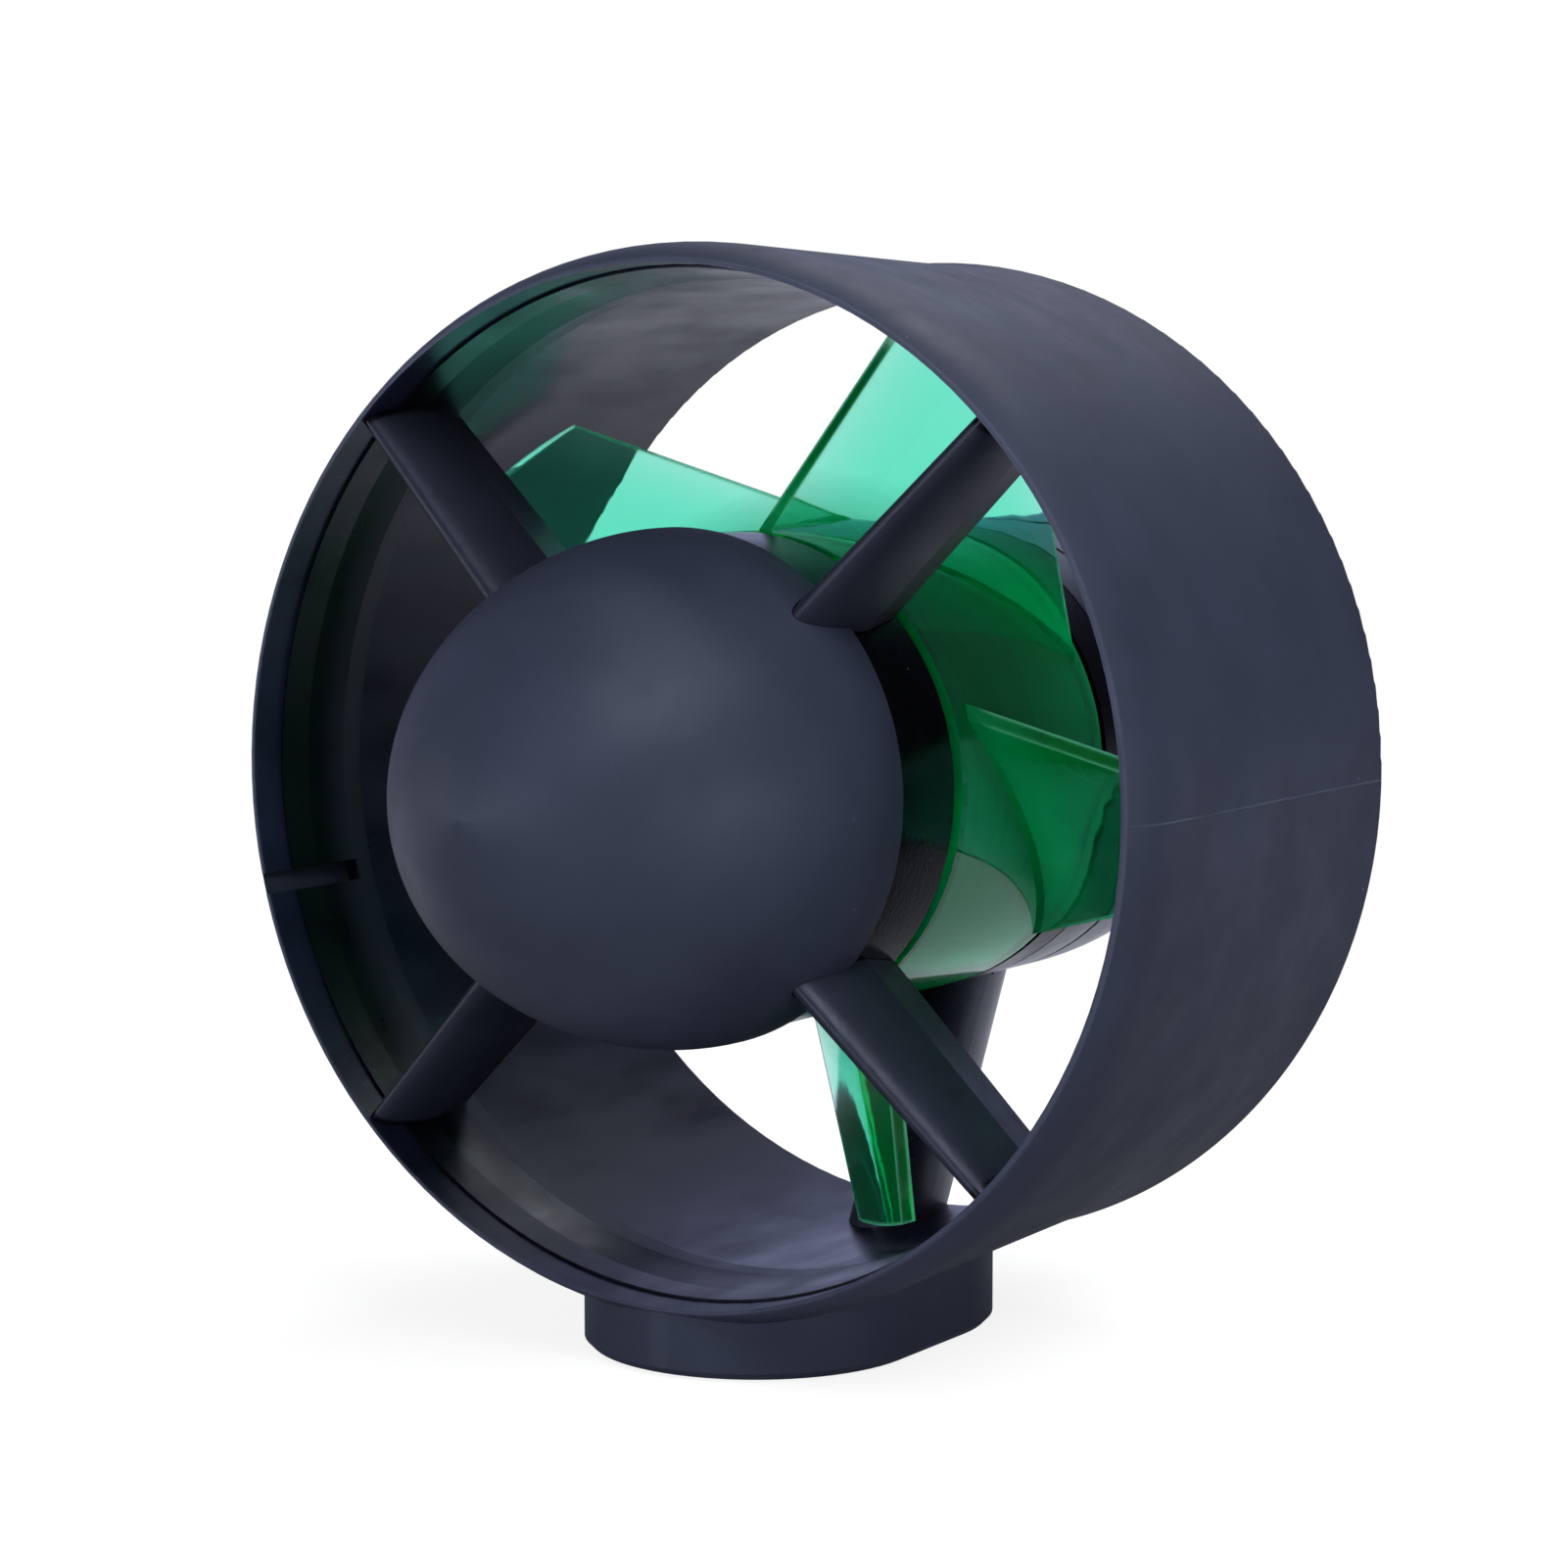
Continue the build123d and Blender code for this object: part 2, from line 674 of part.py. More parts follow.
# Motor pod and its strut: one moulding, the strut let into the duct with a tenon
with BuildPart() as motor_pod:
    for height in (core_radius - pod_wall, bore_radius + pod_wall):
        middle = strut_foot_station + strut_rake * (bore_radius - height)
        with BuildSketch(across_at(-height)):
            streamlined(strut_chord, strut_thickness, strut_tail, strut_nose_share, middle - strut_chord / 2)
    loft(ruled=True)
    with BuildSketch(profile):
        turned(-beyond, beyond, 0, bore_radius)
    revolve(axis=thrust_line, mode=Mode.INTERSECT)
    with BuildSketch(across_at(-tenon_base)):
        with Locations((0, lip_y + tenon_station)):
            Rectangle(tenon_width, tenon_length)
    extrude(amount=tenon_depth + tenon_root)
    with BuildSketch(profile):
        with BuildLine():
            Polyline(
                (pod_back, 0), (pod_front, 0), (pod_front, core_radius - pod_edge),
                (pod_front + pod_edge, core_radius), (pod_straight_end, core_radius),
            )
            Spline(
                (pod_straight_end, core_radius), (pod_curve_station, pod_curve_radius),
                (pod_back, pod_back_radius), tangents=((1, 0), (1, 0)),
            )
            Line((pod_back, pod_back_radius), (pod_back, 0))
        make_face()
    revolve(axis=thrust_line)
    with BuildSketch(profile):
        turned(bulkhead_back, beyond, 0, pod_cavity)
        turned(-beyond, bulkhead_back, 0, bulkhead_bore)
        turned(
            pod_groove_station, pod_groove_station + pod_groove_width, core_radius - pod_groove_depth,
            core_radius + pod_groove_depth,
        )
    revolve(axis=thrust_line, mode=Mode.SUBTRACT)
    screw_holes(pod_front, bulkhead_back, mount_screw_circle, mount_screw_radius, 0)
    cable_passage()
motor_pod.part.label = "motor_pod"
export_step(motor_pod.part, "parts/motor_pod.step")

# Tail cone with its spigot and seal groove
with BuildPart() as tail_cone:
    with BuildSketch(profile) as tail_section:
        with BuildLine():
            EllipticalCenterArc((pod_back, 0), tail_length, pod_back_radius, 0, arc_size=90)
            Polyline((pod_back, pod_back_radius), (pod_back, 0), (pod_back + tail_length, 0))
        make_face()
        turned(pod_back - tail_spigot, pod_back, 0, pod_cavity - slide_fit)
        turned(pod_back - tail_spigot, pod_back + tail_pocket, 0, pod_cavity - tail_wall - pod_wall,
               mode=Mode.SUBTRACT)
        turned(
            seal_station - seal_cord, seal_station + seal_cord, seal_radius - seal_cord, pod_cavity,
            mode=Mode.SUBTRACT,
        )
    revolve(axis=thrust_line)
tail_cone.part.label = "tail_cone"
export_step(tail_cone.part, "parts/tail_cone.step")

# Rubber ring in the tail cone's groove
with BuildPart() as tail_seal:
    with BuildSketch(profile):
        with Locations((seal_station, seal_radius)):
            Circle(seal_cord)
    revolve(axis=thrust_line)
tail_seal.part.label = "tail_seal"
export_step(tail_seal.part, "parts/tail_seal.step")

# Propeller: thin hub over the motor bell, with five blades
with BuildPart() as propeller:
    with BuildSketch(profile):
        turned(hub_front, hub_back, hub_bore, core_radius)
        turned(hub_front, hub_front + hub_web, bell_boss_radius + slide_fit, hub_bore)
    revolve(axis=thrust_line)
    blade = blade_blank()
    for index in range(blade_count):
        add(at_clock(blade, first_blade_clock + index * 360 / blade_count))
    with BuildSketch(profile):
        turned(hub_front + hub_web, beyond, 0, hub_bore)
    revolve(axis=thrust_line, mode=Mode.SUBTRACT)
    screw_holes(hub_front, hub_front + hub_web, prop_screw_circle, prop_screw_radius + close_gap, 0)
    countersinks(hub_front, prop_screw_circle, prop_screw_radius, 0)
propeller.part.label = "propeller"
export_step(propeller.part, "parts/propeller.step")

# Screws that hold the propeller to the bell
with BuildPart() as propeller_screws:
    screw_ring(prop_screw_radius, prop_screw_length, hub_front, prop_screw_circle, 0)
propeller_screws.part.label = "propeller_screws"
export_step(propeller_screws.part, "parts/propeller_screws.step")

# Motor bell: turned cup with a boss on the shaft
with BuildPart() as motor_bell:
    with BuildSketch(profile):
        turned(bell_front, bell_back, bell_radius - bell_wall, bell_radius)
        turned(bell_front, bell_front + bell_plate, 0, bell_radius)
        turned(bell_boss_front, bell_boss_back, 0, bell_boss_radius)
        turned(-beyond, beyond, 0, shaft_radius + slide_fit, mode=Mode.SUBTRACT)
    revolve(axis=thrust_line)
    screw_holes(bell_front, bell_front + bell_plate, prop_screw_circle, prop_screw_radius, 0)
    screw_holes(
        bell_front, bell_front + bell_plate, prop_screw_circle, bell_window_radius, 180 / screw_count,
    )
    with BuildSketch(across_at(0)):
        with Locations((0, lip_y + grub_station)):
            Circle(grub_radius + slide_fit)
    extrude(amount=bell_boss_radius * 2, both=True, mode=Mode.SUBTRACT)
motor_bell.part.label = "motor_bell"
export_step(motor_bell.part, "parts/motor_bell.step")

# Grub screws that hold the bell on the shaft
with BuildPart() as bell_grub_screws:
    with BuildSketch(across_at(0)):
        with Locations((0, lip_y + grub_station)):
            Circle(grub_radius)
    extrude(amount=bell_boss_radius - grub_inset, both=True)
    with BuildSketch(profile):
        turned(-beyond, beyond, 0, shaft_radius)
    revolve(axis=thrust_line, mode=Mode.SUBTRACT)
bell_grub_screws.part.label = "bell_grub_screws"
export_step(bell_grub_screws.part, "parts/bell_grub_screws.step")

# Magnets glued inside the bell
with BuildPart() as rotor_magnets:
    with BuildSketch(profile):
        turned(stack_front - magnet_overhang, stack_back + magnet_overhang, magnet_inner, magnet_outer)
    revolve(axis=thrust_line, revolution_arc=magnet_arc)
    magnet = rotor_magnets.part
    for index in range(1, magnet_count):
        add(at_clock(magnet, index * 360 / magnet_count))
rotor_magnets.part.label = "rotor_magnets"
export_step(rotor_magnets.part, "parts/rotor_magnets.step")

# Shaft with a groove for the clip
with BuildPart() as shaft:
    with BuildSketch(profile):
        turned(shaft_front, shaft_back, 0, shaft_radius)
        turned(
            clip_front - slide_fit, clip_front + clip_thickness + slide_fit,
            shaft_radius - clip_groove_depth, shaft_radius + clip_groove_depth, mode=Mode.SUBTRACT,
        )
    revolve(axis=thrust_line)
shaft.part.label = "shaft"
export_step(shaft.part, "parts/shaft.step")

# Spring clip behind the rear washer, open at one side
with BuildPart() as shaft_clip:
    with BuildSketch(face_at(clip_front)):
        Circle(clip_radius)
        Circle(shaft_radius - clip_groove_depth + slide_fit, mode=Mode.SUBTRACT)
        with Locations((0, clip_radius)):
            Rectangle(clip_gap, 2 * clip_radius, mode=Mode.SUBTRACT)
    extrude(amount=-clip_thickness)
shaft_clip.part.label = "shaft_clip"
export_step(shaft_clip.part, "parts/shaft_clip.step")

# Thrust washers that turn with the shaft
with BuildPart() as front_thrust_washer:
    with BuildSketch(profile):
        turned(bell_boss_front - washer_thickness, bell_boss_front, shaft_radius + slide_fit, washer_radius)
    revolve(axis=thrust_line)
front_thrust_washer.part.label = "front_thrust_washer"
export_step(front_thrust_washer.part, "parts/front_thrust_washer.step")

with BuildPart() as rear_thrust_washer:
    with BuildSketch(profile):
        turned(rear_washer_front, clip_front, shaft_radius + slide_fit, washer_radius)
    revolve(axis=thrust_line)
rear_thrust_washer.part.label = "rear_thrust_washer"
export_step(rear_thrust_washer.part, "parts/rear_thrust_washer.step")
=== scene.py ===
import math
import bmesh
import bpy
from mathutils import Matrix, Vector


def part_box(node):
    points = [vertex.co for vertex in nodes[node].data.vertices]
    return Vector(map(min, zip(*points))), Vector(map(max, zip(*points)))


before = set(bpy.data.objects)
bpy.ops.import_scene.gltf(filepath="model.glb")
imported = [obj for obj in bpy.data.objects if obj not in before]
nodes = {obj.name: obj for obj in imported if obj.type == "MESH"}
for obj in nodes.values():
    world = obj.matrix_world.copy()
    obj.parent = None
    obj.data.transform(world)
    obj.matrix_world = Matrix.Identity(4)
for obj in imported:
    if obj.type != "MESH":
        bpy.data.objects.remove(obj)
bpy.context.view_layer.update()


# Camera.
# It looks at the thruster from the front right and a little above, through a long lens,
# so that the far rim of the duct is hardly smaller than the near one.
camera_place = (0.15088, -0.23406, 0.06791)
camera_azimuth = math.radians(32.92)
camera_elevation = math.radians(5.58)
camera_data = bpy.data.cameras.new("camera")
camera_data.sensor_width = 36.0
camera_data.lens = 87.04
camera_data.clip_start = 0.01
camera_data.clip_end = 20.0
camera = bpy.data.objects.new("camera", camera_data)
bpy.context.scene.collection.objects.link(camera)
forward = Vector((
    -math.sin(camera_azimuth) * math.cos(camera_elevation),
    math.cos(camera_azimuth) * math.cos(camera_elevation),
    -math.sin(camera_elevation),
))
rightward = Vector((math.cos(camera_azimuth), math.sin(camera_azimuth), 0.0))
upward = rightward.cross(forward)
turn = Matrix((rightward, upward, -forward)).transposed()
camera.matrix_world = Matrix.Translation(camera_place) @ turn.to_4x4()
bpy.context.scene.camera = camera
bpy.context.scene.view_settings.view_transform = "Standard"


# Studio.
# Matt white paper under the thruster, and a dim room on the camera's side. The camera sees white
# all round, clear plastic only behind, and gloss a cooler one. The paper is clear from below.
def linear(hex_colour):
    steps = [int(hex_colour[i:i + 2], 16) / 255 for i in (1, 3, 5)]
    return [s / 12.92 if s <= 0.04045 else ((s + 0.055) / 1.055) ** 2.4 for s in steps] + [1.0]


def add_node(tree, kind, settings=None, inputs=None):
    node = tree.nodes.new(kind)
    for name, value in (settings or {}).items():
        setattr(node, name, value)
    for name, value in (inputs or {}).items():
        if isinstance(value, bpy.types.NodeSocket):
            tree.links.new(value, node.inputs[name])
        else:
            node.inputs[name].default_value = value
    return node


def combine(tree, operation, first, second):
    return add_node(tree, "ShaderNodeMath", {"operation": operation}, {0: first, 1: second}).outputs[0]


def blend(tree, share, first, second):
    return add_node(tree, "ShaderNodeMix", {"data_type": "RGBA"}, {
        0: share, 6: first, 7: second}).outputs[2]


def mix_shaders(tree, share, first, second):
    return add_node(tree, "ShaderNodeMixShader", inputs={
        0: share, 1: first.outputs[0], 2: second.outputs[0]})


def smooth_share(tree, value, low, high, start=0.0, end=1.0):
    return add_node(tree, "ShaderNodeMapRange", {"interpolation_type": "SMOOTHSTEP"}, {
        "Value": value, "From Min": low, "From Max": high, "To Min": start, "To Max": end}).outputs["Result"]


def light_path(tree):
    path = add_node(tree, "ShaderNodeLightPath")
    to_camera = path.outputs["Is Camera Ray"]
    through = path.outputs["Is Transmission Ray"]
    reflected = path.outputs["Is Glossy Ray"]
    seen = combine(tree, "MAXIMUM", combine(tree, "MAXIMUM", to_camera, through), reflected)
    in_gloss = add_node(tree, "ShaderNodeMath", {"operation": "SUBTRACT", "use_clamp": True}, {
        0: reflected, 1: through}).outputs[0]
    return to_camera, seen, in_gloss


white = (1.0, 1.0, 1.0, 1.0)
room_axis = (0.54, -0.83, 0.1)
white_until, dim_from, room_level = -0.93, -0.6, 0.09
world_in_gloss = (0.58, 0.63, 1.0, 1.0)
fill_strength = 0.24
world = bpy.data.worlds.new("white_studio")
world.use_nodes = True
bpy.context.scene.world = world
tree = world.node_tree
tree.nodes.clear()
to_camera, seen, in_gloss = light_path(tree)
direction = add_node(tree, "ShaderNodeTexCoord").outputs["Generated"]
room_side = add_node(tree, "ShaderNodeVectorMath", {"operation": "DOT_PRODUCT"}, {
    0: direction, 1: room_axis}).outputs["Value"]
level = smooth_share(tree, room_side, white_until, dim_from, 1.0, room_level)
level = combine(tree, "MAXIMUM", level, to_camera)
fill = add_node(tree, "ShaderNodeBackground", inputs={
    "Color": linear("#dde3f4"), "Strength": fill_strength})
backdrop = add_node(tree, "ShaderNodeBackground", inputs={
    "Color": blend(tree, in_gloss, white, world_in_gloss), "Strength": level})
mixed = mix_shaders(tree, seen, fill, backdrop)
add_node(tree, "ShaderNodeOutputWorld", inputs={"Surface": mixed.outputs[0]})

floor_reach = 2.0
floor_gap = 0.0002
floor_mesh = bpy.data.meshes.new("floor")
mesh = bmesh.new()
bmesh.ops.create_grid(mesh, x_segments=1, y_segments=1, size=floor_reach)
mesh.to_mesh(floor_mesh)
mesh.free()
floor = bpy.data.objects.new("floor", floor_mesh)
floor.location.z = -floor_gap
bpy.context.scene.collection.objects.link(floor)

shadow_radius, white_radius = 0.07, 0.2
shadow_share, paper_glow = 0.25, 0.86
paper_axis = (-0.54, 0.83, 0.0)
dim_end, bright_start, front_share, front_glow = -0.02, 0.08, 0.15, 0.1
paper_in_gloss, gloss_level = (0.8, 0.83, 1.0, 1.0), 0.8
paper = bpy.data.materials.new("matt_white_paper")
paper.use_nodes = True
tree = paper.node_tree
tree.nodes.clear()
to_camera, seen, in_gloss = light_path(tree)
tint = blend(tree, in_gloss, white, paper_in_gloss)
sheet = add_node(tree, "ShaderNodeBsdfDiffuse", inputs={"Color": linear("#f2f2f2"), "Roughness": 0.0})
shadow = add_node(tree, "ShaderNodeBsdfDiffuse", inputs={
    "Color": (shadow_share, shadow_share, shadow_share, 1.0), "Roughness": 0.0})
glow = add_node(tree, "ShaderNodeEmission", inputs={"Color": tint, "Strength": paper_glow})
near = add_node(tree, "ShaderNodeAddShader", inputs={0: shadow.outputs[0], 1: glow.outputs[0]})
far = add_node(tree, "ShaderNodeEmission", inputs={"Color": tint, "Strength": 1.0})
spot = add_node(tree, "ShaderNodeTexCoord").outputs["Object"]
distance = add_node(tree, "ShaderNodeVectorMath", {"operation": "LENGTH"}, {0: spot}).outputs["Value"]
look = mix_shaders(tree, smooth_share(tree, distance, shadow_radius, white_radius), near, far)
behind = add_node(tree, "ShaderNodeVectorMath", {"operation": "DOT_PRODUCT"}, {
    0: spot, 1: paper_axis}).outputs["Value"]
bright = smooth_share(tree, behind, dim_end, bright_start, front_share, 1.0)
kept_in_gloss = add_node(tree, "ShaderNodeMapRange", inputs={
    "Value": in_gloss, "To Min": 1.0, "To Max": gloss_level}).outputs["Result"]
bright = combine(tree, "MULTIPLY", bright, kept_in_gloss)
bright = combine(tree, "MAXIMUM", bright, to_camera)
dim = add_node(tree, "ShaderNodeEmission", inputs={"Color": white, "Strength": front_glow})
look = mix_shaders(tree, bright, dim, look)
mixed = mix_shaders(tree, seen, sheet, look)
underside = add_node(tree, "ShaderNodeNewGeometry").outputs["Backfacing"]
clear = add_node(tree, "ShaderNodeBsdfTransparent")
mixed = mix_shaders(tree, combine(tree, "MULTIPLY", underside, to_camera), mixed, clear)
add_node(tree, "ShaderNodeOutputMaterial", inputs={"Surface": mixed.outputs[0]})
floor_mesh.materials.append(paper)


# Lamps.
# Five softboxes: the key high on the right, one low at the left, a wide one in front, one above
# and behind, and a weak low strip for the duct's right flank.
def soft_lamp(name, place, target, size, power):
    lamp_data = bpy.data.lights.new(name, "AREA")
    lamp_data.shape = "RECTANGLE"
    lamp_data.size, lamp_data.size_y = size
    lamp_data.color = (0.94, 0.96, 1.0)
    lamp_data.energy = power
    lamp = bpy.data.objects.new(name, lamp_data)
    bpy.context.scene.collection.objects.link(lamp)
    aim = Vector(target) - Vector(place)
    lamp.matrix_world = Matrix.Translation(place) @ aim.to_track_quat("-Z", "Y").to_matrix().to_4x4()


thruster_middle = (0.0, 0.0, 0.04)
duct_lower_half = (0.0, 0.0, 0.03)
soft_lamp("key_softbox", (0.44, -0.22, 0.68), thruster_middle, (0.5, 0.5), 5.7)
soft_lamp("left_softbox", (-0.7, -0.5, 0.05), thruster_middle, (0.5, 0.5), 3.1)
soft_lamp("front_softbox", (-0.08, -0.86, 0.06), thruster_middle, (0.8, 0.36), 5.0)
soft_lamp("rear_softbox", (-0.02, 0.4, 0.7), thruster_middle, (0.4, 0.4), 3.6)
soft_lamp("low_softbox", (0.7, -0.12, 0.03), duct_lower_half, (0.3, 0.06), 1.4)


# Duct shell.
# One moulding of dark grey ABS with its pad. The tool was spark eroded on the outside, which leaves a fine
# matt grain with a blue sheen, and polished along the bore, whose near-black colour is painted shade.
axis_height = 0.0416


def start_material(name):
    material = bpy.data.materials.new(name)
    material.use_nodes = True
    tree = material.node_tree
    coordinates = add_node(tree, "ShaderNodeTexCoord").outputs["Object"]
    return material, tree, tree.nodes["Principled BSDF"], coordinates


def finish_surface(tree, shader, colour, roughness, height, depth=1.0):
    bump = add_node(tree, "ShaderNodeBump", inputs={"Height": height, "Distance": depth, "Strength": 1.0})
    tree.links.new(colour, shader.inputs["Base Color"])
    tree.links.new(roughness, shader.inputs["Roughness"])
    tree.links.new(bump.outputs[0], shader.inputs["Normal"])


def axis_radius(tree, coordinates):
    flat = add_node(tree, "ShaderNodeMapping", inputs={
        "Vector": coordinates, "Location": (0.0, 0.0, -axis_height), "Scale": (1.0, 0.0, 1.0)})
    return add_node(tree, "ShaderNodeVectorMath", {"operation": "LENGTH"}, {
        0: flat.outputs[0]}).outputs["Value"]


def band_share(tree, value, low, high, start=0.0, end=1.0):
    return add_node(tree, "ShaderNodeMapRange", inputs={
        "Value": value, "From Min": low, "From Max": high, "To Min": start, "To Max": end}).outputs["Result"]


def product(tree, first, second):
    return combine(tree, "MULTIPLY", first, second)


def noise(tree, vector, size, detail, roughness=0.5):
    return add_node(tree, "ShaderNodeTexNoise", inputs={
        "Vector": vector, "Scale": 1 / size, "Detail": detail, "Roughness": roughness}).outputs[0]


def vary(tree, pattern, lowest, highest):
    usual_low, usual_high = 0.3, 0.7
    return band_share(tree, pattern, usual_low, usual_high, lowest, highest)


def mottle(tree, colour, pattern, darkest, lightest):
    return add_node(tree, "ShaderNodeVectorMath", {"operation": "SCALE"}, {
        0: linear(colour)[:3], "Scale": vary(tree, pattern, darkest, lightest)}).outputs[0]


def paint_shade_in_polished_wall(tree, coordinates, polish_and_painted_shade, shade, dullness, relief):
    painted_shade_colour, gloss_roughness, low, high = polish_and_painted_shade
    streak_size, streak_stretch, grain_left = 0.004, 0.35, 0.03
    outside = band_share(tree, axis_radius(tree, coordinates), low, high)
    stretched = add_node(tree, "ShaderNodeMapping", inputs={
        "Vector": coordinates, "Scale": (1.0, streak_stretch, 1.0)}).outputs[0]
    streaks = noise(tree, stretched, streak_size, 3.0)
    # Within the given radius the colour turns darker: painted shade in the bore and inside the vane ring,
    # laid on a real polish.
    shade = blend(tree, outside, mottle(tree, painted_shade_colour, streaks, 0.7, 1.3), shade)
    wiped = vary(tree, streaks, gloss_roughness - 0.06, gloss_roughness + 0.1)
    dullness = add_node(tree, "ShaderNodeMix", {"data_type": "FLOAT"}, {
        0: outside, 2: wiped, 3: dullness}).outputs[0]
    relief = product(tree, relief, band_share(tree, outside, 0.0, 1.0, grain_left, 1.0))
    return shade, dullness, relief


def raise_parting_line_with_highlight(tree, coordinates, parting_with_highlight, shade, relief):
    line_height, half_width, flank_x = parting_with_highlight
    wander_size, fade_length, ridge_highlight_strength, ridge_height = 0.006, 0.001, 0.16, 0.00008
    place = add_node(tree, "ShaderNodeSeparateXYZ", inputs={"Vector": coordinates})
    above_line = combine(tree, "SUBTRACT", place.outputs["Z"], line_height)
    off_line = add_node(tree, "ShaderNodeMath", {"operation": "ABSOLUTE"}, {0: above_line}).outputs[0]
    ridge = band_share(tree, off_line, 0.2 * half_width, half_width, 1.0, 0.0)
    ridge = product(tree, ridge, band_share(tree, place.outputs["X"], flank_x, flank_x + fade_length))
    wander = noise(tree, coordinates, wander_size, 2.0)
    ridge = product(tree, ridge, band_share(tree, wander, 0.35, 0.55, 0.25, 1.0))
    # The ridge's bump is real, and its lighter colour is a painted highlight along the parting line.
    shade = blend(tree, product(tree, ridge, ridge_highlight_strength), shade, linear("#7d8192"))
    relief = combine(tree, "ADD", relief, product(tree, ridge, ridge_height))
    return shade, relief


# A lighter, patchy band along the lip's front edge: a painted highlight.
def paint_lip_highlight(tree, coordinates, lip_highlight_band, smear, shade):
    lip_y, lip_width = lip_highlight_band
    strongest_lip_highlight = 0.35
    place = add_node(tree, "ShaderNodeSeparateXYZ", inputs={"Vector": coordinates})
    lip_highlight_share = band_share(
        tree, place.outputs["Y"], lip_y + 0.4 * lip_width, lip_y + lip_width, strongest_lip_highlight, 0.0)
    lip_highlight_share = product(tree, lip_highlight_share, band_share(tree, smear, 0.3, 0.6, 0.5, 1.0))
    return blend(tree, lip_highlight_share, shade, linear("#4b4f61"))


# The grain is drawn coarser than it is, so that it shows at this distance.
def moulded_plastic(name, colour, roughness, specular, polish_and_painted_shade=None, parting_with_highlight=None, lip_highlight_band=None):
    cloud_size, dust_spacing, dust_patch, smear_size = 0.014, 0.0035, 0.006, 0.005
    grain_size, grain_height, uneven_gloss = 0.00035, 0.000012, 0.06
    material, tree, shader, coordinates = start_material(name)
    shade = mottle(tree, colour, noise(tree, coordinates, cloud_size, 3.0, 0.55), 0.84, 1.16)
    dust = add_node(tree, "ShaderNodeTexVoronoi", inputs={
        "Vector": coordinates, "Scale": 1 / dust_spacing}).outputs["Distance"]
    speck = band_share(tree, dust, 0.02, 0.05, 0.55, 0.0)
    dusty = band_share(tree, noise(tree, coordinates, dust_patch, 1.0), 0.55, 0.62)
    shade = blend(tree, product(tree, speck, dusty), shade, linear("#6b6f80"))
    smear = noise(tree, coordinates, smear_size, 4.0, 0.6)
    dullness = vary(tree, smear, roughness - uneven_gloss, roughness + uneven_gloss)
    relief = product(tree, noise(tree, coordinates, grain_size, 2.0), grain_height)
    if polish_and_painted_shade:
        shade, dullness, relief = paint_shade_in_polished_wall(tree, coordinates, polish_and_painted_shade, shade, dullness, relief)
    if parting_with_highlight:
        shade, relief = raise_parting_line_with_highlight(tree, coordinates, parting_with_highlight, shade, relief)
    if lip_highlight_band:
        shade = paint_lip_highlight(tree, coordinates, lip_highlight_band, smear, shade)
    finish_surface(tree, shader, shade, dullness, relief)
    shader.inputs["Specular IOR Level"].default_value = specular
    shader.inputs["Specular Tint"].default_value = (0.78, 0.82, 1.0, 1.0)
    return material


def dress(name, material):
    for slot in nodes[name].material_slots:
        slot.material = material


# The bore is polished, and its colour, darker than the outside's, is painted shade inside the duct.
bore_gloss_and_shade = ("#15182a", 0.31, 0.0368, 0.0370)
parting_line_with_highlight = (axis_height - 0.0003, 0.00012, 0.0369)
# The lip's front edge gets a painted highlight, a lighter band.
duct_lip_highlight = (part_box("duct_shell")[0][1], 0.00025)
dress("duct_shell", moulded_plastic(
    "spark_eroded_abs", "#242836", 0.6, 0.22, bore_gloss_and_shade, parting_line_with_highlight, duct_lip_highlight))


# Mounting inserts.
# Four threaded brass bushes, turned from bar and heat-set in the pad's underside,
# where only their flanges show, with fine rings from the lathe.
def tool_marks(tree, feed, pitch, roughness=0.5):
    return add_node(tree, "ShaderNodeTexNoise", {"noise_dimensions": "1D"}, {
        "W": feed, "Scale": 1 / pitch, "Detail": 2.0, "Roughness": roughness}).outputs[0]


def turned_metal(name, colour, roughness, pitch, depth,
                 centre=(0.0, 0.0, -axis_height), across=(1.0, 0.0, 1.0), mirrored=False):
    stain_size = 0.004
    material, tree, shader, coordinates = start_material(name)
    if mirrored:
        coordinates = add_node(tree, "ShaderNodeVectorMath", {"operation": "ABSOLUTE"}, {
            0: coordinates}).outputs[0]
    flat = add_node(tree, "ShaderNodeMapping", inputs={
        "Vector": coordinates, "Location": centre, "Scale": across}).outputs[0]
    radius = add_node(tree, "ShaderNodeVectorMath", {"operation": "LENGTH"}, {0: flat}).outputs["Value"]
    height = add_node(tree, "ShaderNodeVectorMath", {"operation": "DOT_PRODUCT"}, {
        0: coordinates, 1: [1.0 - share for share in across]}).outputs["Value"]
    marks = tool_marks(tree, combine(tree, "ADD", radius, height), pitch, 0.6)
    stain = noise(tree, coordinates, stain_size, 3.0, 0.55)
    finish_surface(
        tree, shader, mottle(tree, colour, stain, 0.86, 1.08),
        vary(tree, marks, roughness - 0.07, roughness + 0.1), marks, depth)
    shader.inputs["Metallic"].default_value = 1.0
    return material


insert_offset = 0.008
dress("mounting_inserts", turned_metal(
    "turned_brass", "#b9924a", 0.3, 0.00012, 0.000006,
    centre=(-insert_offset, -insert_offset, 0.0), across=(1.0, 1.0, 0.0), mirrored=True))


